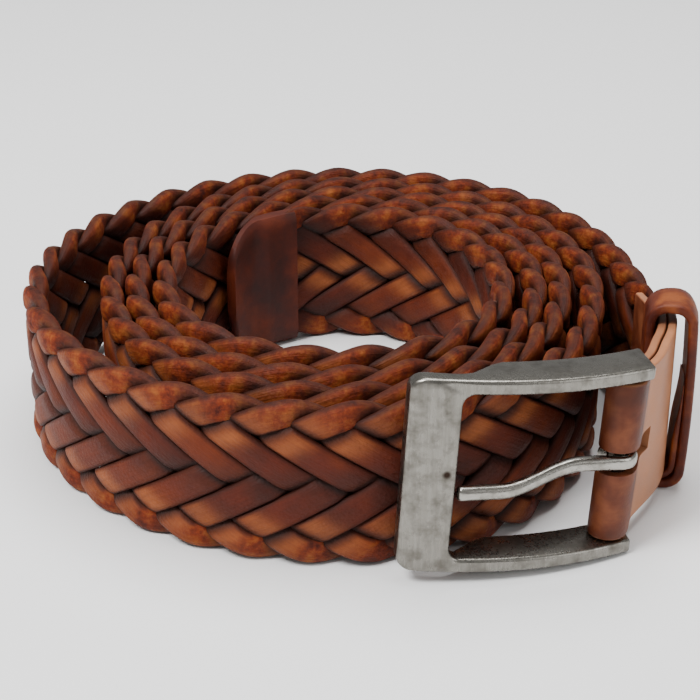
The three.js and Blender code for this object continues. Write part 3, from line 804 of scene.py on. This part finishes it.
def strand_material(group):
    """Burnished plaited leather: painted shade in the crevices, and the ends of the floats paler, partly
    from wear and partly a painted highlight.
    """
    material = bpy.data.materials.new("Plaited leather")
    material.use_nodes = True
    tree = Tree(material.node_tree)
    uv = tree.add("ShaderNodeUVMap", uv_map="cut").outputs[0]
    run = tree.add("ShaderNodeMapping", {"Vector": uv, "Scale": (1420.0, 12.0, 1.0)}).outputs[0]
    place_mm = tree.add(
        "ShaderNodeMapping",
        {"Vector": tree.add("ShaderNodeTexCoord").outputs["Object"], "Scale": (1000.0, 1000.0, 1000.0)},
    ).outputs[0]
    grain = tree.add("ShaderNodeGroup", {}, node_tree=group)
    tree.tree.links.new(place_mm, grain.inputs["Vector"])
    drawn = tree.add("ShaderNodeGroup", {}, node_tree=group)
    tree.tree.links.new(run, drawn.inputs["Vector"])
    marks = {
        key: tree.add("ShaderNodeAttribute", attribute_name=key).outputs["Fac"]
        for key in ("wear_and_highlight", "tuck_shade", "rim", "tone")
    }
    tone = tree.math(
        "ADD",
        tree.math("MULTIPLY", marks["tone"], 0.55),
        tree.math("MULTIPLY", grain.outputs["Mottle"], 0.45),
    )
    body = tree.ramp(
        tone,
        [(0.1, linear(52, 14, 3)), (0.5, linear(78, 25, 7)), (0.9, linear(102, 41, 13))],
    )
    # Painted highlight with wear: the floats' starts mixed towards a pale tan.
    wear_and_highlight = tree.math("MULTIPLY", marks["wear_and_highlight"], tree.spread(drawn.outputs["Mottle"], 0.0, 1.0, 0.45, 0.95))
    colour = tree.mixed(wear_and_highlight, body, linear(146, 80, 40))
    rim = tree.math("MULTIPLY", marks["rim"], tree.spread(grain.outputs["Mottle"], 0.0, 1.0, 0.65, 1.0))
    suede = tree.add(
        "ShaderNodeTexNoise", {"Vector": place_mm, "Scale": 0.42, "Detail": 5.0, "Roughness": 0.65}
    ).outputs[0]
    raw = tree.ramp(
        tree.spread(suede, 0.32, 0.68),
        [(0.0, linear(60, 16, 6)), (0.45, linear(116, 42, 12)), (1.0, linear(150, 82, 32))],
    )
    colour = tree.mixed(rim, colour, raw)
    streaks = tree.math("MULTIPLY", drawn.outputs["Fibres"], 0.3)
    colour = tree.mixed(streaks, colour, linear(44, 15, 8))
    # Painted shade: the crevices mixed towards near black.
    colour = tree.mixed(tree.math("MULTIPLY", marks["tuck_shade"], 0.92), colour, linear(16, 7, 5))
    rough = tree.spread(grain.outputs["Mottle"], 0.0, 1.0, 0.5, 0.68)
    rough = tree.math("ADD", rough, tree.math("MULTIPLY", marks["rim"], 0.12), clamp=True)
    height = tree.math("ADD", grain.outputs["Height"], tree.math("MULTIPLY", drawn.outputs["Fibres"], 0.5))
    rough_rim = tree.math("MULTIPLY", tree.math("MULTIPLY", suede, marks["rim"]), 2.2)
    height = tree.math("ADD", height, rough_rim)
    bump = tree.add("ShaderNodeBump", {"Height": height, "Strength": 0.5, "Distance": 0.0003})
    shader = tree.add(
        "ShaderNodeBsdfPrincipled",
        {"Base Color": colour, "Roughness": rough, "Normal": bump.outputs[0], "Specular IOR Level": 0.2},
    )
    tree.add("ShaderNodeOutputMaterial", {"Surface": shader.outputs[0]})
    return material


def smooth_leather(name, group, colours, roughness, bump_strength=0.25, pale=None):
    """Cut leather of a tab, keeper or tip, mottled between three colours, pale where the mesh's pale mark
    says: its real cut edges, and a painted highlight on one face of the tab.
    """
    material = bpy.data.materials.new(name)
    material.use_nodes = True
    tree = Tree(material.node_tree)
    place_mm = tree.add(
        "ShaderNodeMapping",
        {"Vector": tree.add("ShaderNodeTexCoord").outputs["Object"], "Scale": (1000.0, 1000.0, 1000.0)},
    ).outputs[0]
    grain = tree.add("ShaderNodeGroup", {"Pores per mm": 2.4}, node_tree=group)
    tree.tree.links.new(place_mm, grain.inputs["Vector"])
    low, middle, high = colours
    colour = tree.ramp(grain.outputs["Mottle"], [(0.1, low), (0.5, middle), (0.9, high)])
    colour = tree.mixed(tree.math("MULTIPLY", grain.outputs["Fibres"], 0.2), colour, low)
    if pale is not None:
        # Pale mark: real paler cut edges, plus a painted highlight on one face.
        pale_edge_and_highlight = tree.add("ShaderNodeAttribute", attribute_name="pale").outputs["Fac"]
        pale_edge_and_highlight = tree.math("MULTIPLY", pale_edge_and_highlight, tree.spread(grain.outputs["Mottle"], 0.0, 1.0, 0.75, 1.0))
        colour = tree.mixed(pale_edge_and_highlight, colour, pale)
    rough = tree.spread(grain.outputs["Mottle"], 0.0, 1.0, roughness - 0.08, roughness + 0.08)
    bump = tree.add(
        "ShaderNodeBump", {"Height": grain.outputs["Height"], "Strength": bump_strength, "Distance": 0.0002}
    )
    shader = tree.add(
        "ShaderNodeBsdfPrincipled",
        {"Base Color": colour, "Roughness": rough, "Normal": bump.outputs[0], "Specular IOR Level": 0.25},
    )
    tree.add("ShaderNodeOutputMaterial", {"Surface": shader.outputs[0]})
    return material


def worn_group():
    """Scuffs and tarnish on metal, and drawn brush lines along one direction."""
    tree, given, out = new_group(
        "Metal Wear",
        [("Vector", VECTOR, None), ("Brush", VECTOR, (1.0, 1.0, 1.0))],
        [("Scuff", FLOAT), ("Lines", FLOAT)],
    )
    blotch = tree.add(
        "ShaderNodeTexNoise", {"Vector": given["Vector"], "Scale": 0.35, "Detail": 5.0, "Roughness": 0.6}
    ).outputs[0]
    drawn = tree.add("ShaderNodeMapping", {"Vector": given["Vector"], "Scale": given["Brush"]}).outputs[0]
    lines = tree.add(
        "ShaderNodeTexNoise", {"Vector": drawn, "Scale": 1.0, "Detail": 4.0, "Roughness": 0.7}
    ).outputs[0]
    links = tree.tree.links
    links.new(tree.spread(blotch, 0.45, 0.75), out.inputs["Scuff"])
    links.new(tree.spread(lines, 0.3, 0.7), out.inputs["Lines"])
    return tree.tree


def metal_material(name, group, clean, dull, roughness, brush):
    """Worn metal with drawn lines, dull patches and one small dark spot on the toe bar's front."""
    material = bpy.data.materials.new(name)
    material.use_nodes = True
    tree = Tree(material.node_tree)
    place_mm = tree.add(
        "ShaderNodeMapping",
        {"Vector": tree.add("ShaderNodeTexCoord").outputs["Object"], "Scale": (1000.0, 1000.0, 1000.0)},
    ).outputs[0]
    wear = tree.add("ShaderNodeGroup", {"Brush": brush}, node_tree=group)
    tree.tree.links.new(place_mm, wear.inputs["Vector"])
    colour = tree.mixed(wear.outputs["Scuff"], clean, dull)
    colour = tree.mixed(tree.math("MULTIPLY", wear.outputs["Lines"], 0.35), colour, dull)
    dent = Vector(on_buckle(30.4, front_at(30.4), 0.9))
    away = tree.add(
        "ShaderNodeVectorMath",
        {0: tree.add("ShaderNodeTexCoord").outputs["Object"], 1: dent},
        operation="DISTANCE",
    ).outputs["Value"]
    pit = tree.spread(away, 0.0004, 0.0009, 1.0, 0.0)
    colour = tree.mixed(pit, colour, linear(46, 36, 30))
    rough = tree.math(
        "ADD",
        tree.spread(wear.outputs["Lines"], 0.0, 1.0, roughness, roughness + 0.14),
        tree.math("MULTIPLY", wear.outputs["Scuff"], 0.12),
        clamp=True,
    )
    bump = tree.add(
        "ShaderNodeBump", {"Height": wear.outputs["Lines"], "Strength": 0.15, "Distance": 0.0001}
    )
    shader = tree.add(
        "ShaderNodeBsdfPrincipled",
        {"Base Color": colour, "Roughness": rough, "Metallic": 1.0, "Normal": bump.outputs[0]},
    )
    tree.add("ShaderNodeOutputMaterial", {"Surface": shader.outputs[0]})
    return material


def library():
    """Every material of the belt, made once."""
    grain = bpy.data.node_groups.get("Leather Grain") or grain_group()
    wear = bpy.data.node_groups.get("Metal Wear") or worn_group()
    made = bpy.data.materials
    return {
        "strand": made.get("Plaited leather") or strand_material(grain),
        "tab": made.get("Tab leather")
        or smooth_leather(
            "Tab leather",
            grain,
            (linear(66, 26, 11), linear(88, 40, 20), linear(112, 60, 34)),
            0.5,
            pale=linear(168, 112, 78),
        ),
        "keeper": made.get("Keeper leather")
        or smooth_leather(
            "Keeper leather", grain, (linear(62, 18, 7), linear(88, 34, 13), linear(128, 66, 28)), 0.5
        ),
        "tip": made.get("Tip leather")
        or smooth_leather(
            "Tip leather", grain, (linear(46, 11, 3), linear(66, 19, 5), linear(88, 32, 11)), 0.6
        ),
        "plating": made.get("Worn plating")
        or metal_material(
            "Worn plating", wear, linear(138, 135, 128), linear(84, 80, 73), 0.2, (1.5, 1.5, 0.08)
        ),
        "steel": made.get("Polished steel")
        or metal_material(
            "Polished steel", wear, linear(168, 165, 158), linear(112, 108, 101), 0.16, (0.2, 1.5, 1.5)
        ),
    }


# ---- Settings ----------------------------------------------------------------------------------


class PlaitSettings(PropertyGroup):
    steps_per_lane: IntProperty(
        name="Steps per crossing",
        description="Rings of faces on a strand between two crossings",
        default=7,
        min=4,
        max=12,
    )
    around: IntProperty(
        name="Faces round a strand",
        description="Faces round a strand's section",
        default=16,
        min=8,
        max=32,
    )
    seed: IntProperty(name="Seed", description="Picks each float's own tone", default=11, min=0)


class StageSettings(PropertyGroup):
    floor_colour: FloatVectorProperty(
        name="Floor",
        description="Colour of the floor",
        subtype="COLOR",
        default=(0.86, 0.86, 0.86),
        min=0,
        max=1,
    )
    key_power: FloatProperty(
        name="Key light",
        description="Power of the main soft light",
        default=13.0,
        min=0,
        unit="POWER",
    )


# ---- Operators ---------------------------------------------------------------------------------


class BELT_OT_plait(Operator):
    """Makes the plait's strands, each over and under the others"""

    bl_idname = "belt.plait"
    bl_label = "Plait"

    def execute(self, context):
        settings = context.scene.belt_plait
        material = library()["strand"]
        for strand in range(STRAND_COUNT):
            rng = random.Random(settings.seed + strand)
            bm = strand_mesh(strand, settings.steps_per_lane, settings.around, rng)
            name = f"strand_{strand + 1}"
            finished(bm, f"plaited_{name}", "strap", material, [name])
        return {"FINISHED"}


class BELT_OT_tab(Operator):
    """Makes the buckle tab with the slot for the prong"""

    bl_idname = "belt.tab"
    bl_label = "Buckle Tab"

    def execute(self, context):
        finished(tab_mesh(), "folded_tab", "strap", library()["tab"], ["buckle_tab"], 0.7)
        return {"FINISHED"}


class BELT_OT_keeper(Operator):
    """Makes the keeper loop with its lapped joint"""

    bl_idname = "belt.keeper"
    bl_label = "Keeper"

    def execute(self, context):
        leather = library()["keeper"]
        finished(
            keeper_mesh(), "lapped_keeper", "keeper", leather, ["keeper_loop"], 0.7
        )
        return {"FINISHED"}


class BELT_OT_tip(Operator):
    """Makes the leather tip over the plait's end"""

    bl_idname = "belt.tip"
    bl_label = "Tip"

    def execute(self, context):
        leather = library()["tip"]
        finished(tip_mesh(), "round_tip", "strap", leather, ["strap_tip"], 0.7)
        return {"FINISHED"}


class BELT_OT_buckle(Operator):
    """Makes the buckle's frame and its heel bar"""

    bl_idname = "belt.buckle"
    bl_label = "Buckle"

    def execute(self, context):
        made = library()
        finished(
            frame_mesh(), "arched_frame", "buckle", made["plating"], ["buckle_frame"], 0.6
        )
        finished(bar_mesh(), "round_bar", "buckle", made["steel"], ["heel_bar"], 0.6)
        return {"FINISHED"}


class BELT_OT_prong(Operator):
    """Makes the prong hooked round the heel bar"""

    bl_idname = "belt.prong"
    bl_label = "Prong"

    def execute(self, context):
        finished(prong_mesh(), "hooked_prong", "prong", library()["steel"], ["prong"], 0.9)
        return {"FINISHED"}


CAMERA_PLACE = Vector((1.547, -287.678, 146.694))
CAMERA_PITCH = 25
CAMERA_LENS = 36 * 1634 / 700


class BELT_OT_stage(Operator):
    """Makes the floor, the soft lights and the camera"""

    bl_idname = "belt.stage"
    bl_label = "Stage"

    def execute(self, context):
        settings = context.scene.belt_stage
        scene = context.scene
        bm = bmesh.new()
        bmesh.ops.create_grid(bm, x_segments=1, y_segments=1, size=3.0)
        mesh = bpy.data.meshes.new("floor")
        bm.to_mesh(mesh)
        bm.free()
        floor = bpy.data.objects.new("floor", mesh)
        scene.collection.objects.link(floor)
        material = bpy.data.materials.new("Pale floor")
        material.use_nodes = True
        shader = material.node_tree.nodes["Principled BSDF"]
        shader.inputs["Base Color"].default_value = (*settings.floor_colour, 1)
        shader.inputs["Roughness"].default_value = 0.7
        mesh.materials.append(material)
        world = bpy.data.worlds.new("Studio")
        world.use_nodes = True
        world.node_tree.nodes["Background"].inputs[0].default_value = (1, 1, 1, 1)
        world.node_tree.nodes["Background"].inputs[1].default_value = 0.42
        scene.world = world
        for name, spot, size, power in (
            ("key", (-0.45, -0.35, 0.8), 0.35, settings.key_power),
            ("fill", (0.75, -0.45, 0.4), 0.6, settings.key_power * 0.2),
            ("top", (0.1, 0.2, 0.95), 0.6, settings.key_power * 0.65),
        ):
            light = bpy.data.lights.new(name, "AREA")
            light.size = size
            light.energy = power
            lamp = bpy.data.objects.new(name, light)
            lamp.location = spot
            lamp.rotation_euler = (-Vector(spot)).to_track_quat("-Z", "Y").to_euler()
            scene.collection.objects.link(lamp)
        camera = bpy.data.cameras.new("camera")
        camera.sensor_width = 36
        camera.lens = CAMERA_LENS
        view = bpy.data.objects.new("camera", camera)
        coil_middle = Vector((route.shift.x, route.shift.y, route.lift))
        view.location = (coil_middle + CAMERA_PLACE) * MM
        view.rotation_euler = (math.radians(90 - CAMERA_PITCH), 0, 0)
        scene.collection.objects.link(view)
        scene.camera = view
        return {"FINISHED"}


class BELT_PT_sidebar(Panel):
    """The belt's pieces, one button each"""

    bl_label = "Belt"
    bl_idname = "BELT_PT_sidebar"
    bl_space_type = "VIEW_3D"
    bl_region_type = "UI"
    bl_category = "Belt"

    def draw(self, context):
        for settings in (context.scene.belt_plait, context.scene.belt_stage):
            for key in settings.__annotations__:
                self.layout.prop(settings, key)
        for step in STEPS:
            self.layout.operator(step.bl_idname)


STEPS = (
    BELT_OT_plait,
    BELT_OT_tab,
    BELT_OT_keeper,
    BELT_OT_tip,
    BELT_OT_buckle,
    BELT_OT_prong,
    BELT_OT_stage,
)
CLASSES = (PlaitSettings, StageSettings, *STEPS, BELT_PT_sidebar)


def register():
    for made in CLASSES:
        bpy.utils.register_class(made)
    bpy.types.Scene.belt_plait = PointerProperty(type=PlaitSettings)
    bpy.types.Scene.belt_stage = PointerProperty(type=StageSettings)


def unregister():
    del bpy.types.Scene.belt_stage
    del bpy.types.Scene.belt_plait
    for made in reversed(CLASSES):
        bpy.utils.unregister_class(made)


def main():
    register()
    for step in STEPS:
        group, name = step.bl_idname.split(".")
        getattr(getattr(bpy.ops, group), name)()


if __name__ == "__main__":
    main()
